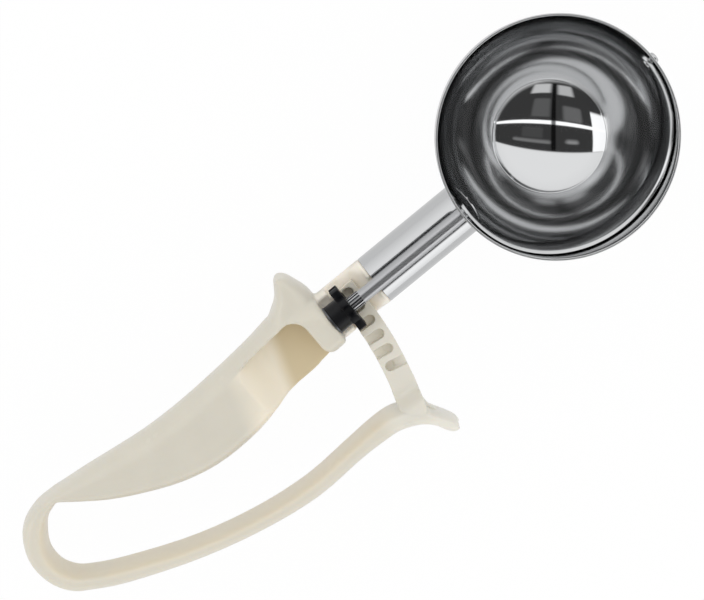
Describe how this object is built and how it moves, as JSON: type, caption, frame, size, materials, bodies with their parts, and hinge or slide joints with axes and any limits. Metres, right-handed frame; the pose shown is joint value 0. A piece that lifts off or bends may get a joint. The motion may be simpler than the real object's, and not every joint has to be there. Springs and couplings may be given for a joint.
{
  "type": "lever ice cream scoop",
  "caption": "Squeeze-handle ice cream scoop: a sprung one-piece handle whose curved rack turns a pinion, shaft and sweep blade inside a round steel bowl.",
  "frame": {"origin": "centre of the bowl's mouth, on the plane of its rim", "axes": "+Z out of the bowl's mouth, +X along the drive shaft away from the handle, trigger on the -Y side"},
  "size_m": [0.2245, 0.0816, 0.0409],
  "materials": {
    "ivory_plastic": "gloss, moulded",
    "polished_steel": "polished stainless",
    "steel": "drawn, bright",
    "black_plastic": "satin, moulded"
  },
  "bodies": {
    "handle": {"grip": "ivory_plastic", "spring_loop": "ivory_plastic", "shank_tube": "polished_steel", "bowl": "polished_steel", "pivot_rivet": "steel"},
    "trigger": {"trigger_lever": "ivory_plastic", "rack_arm": "ivory_plastic"},
    "shaft": {"drive_shaft": "steel", "thrust_washer": "steel", "pinion": "black_plastic", "sweep_blade": "steel"}
  },
  "joints": [
    {"name": "trigger_squeeze", "type": "hinge", "parent": "handle", "child": "trigger", "pos_m": [-0.1708, 0, -0.0125], "axis": [0, 0, 1], "range_deg": [0, 9.1], "stiffness_Nm_per_rad": 4, "deforming": ["spring_loop"]},
    {"name": "blade_sweep", "type": "hinge", "parent": "handle", "child": "shaft", "pos_m": [0, 0, -0.0035], "axis": [1, 0, 0], "range_deg": [0, 147]}
  ],
  "couplings": [
    {"joint": "blade_sweep", "follows": "trigger_squeeze", "ratio": 16.071}
  ]
}
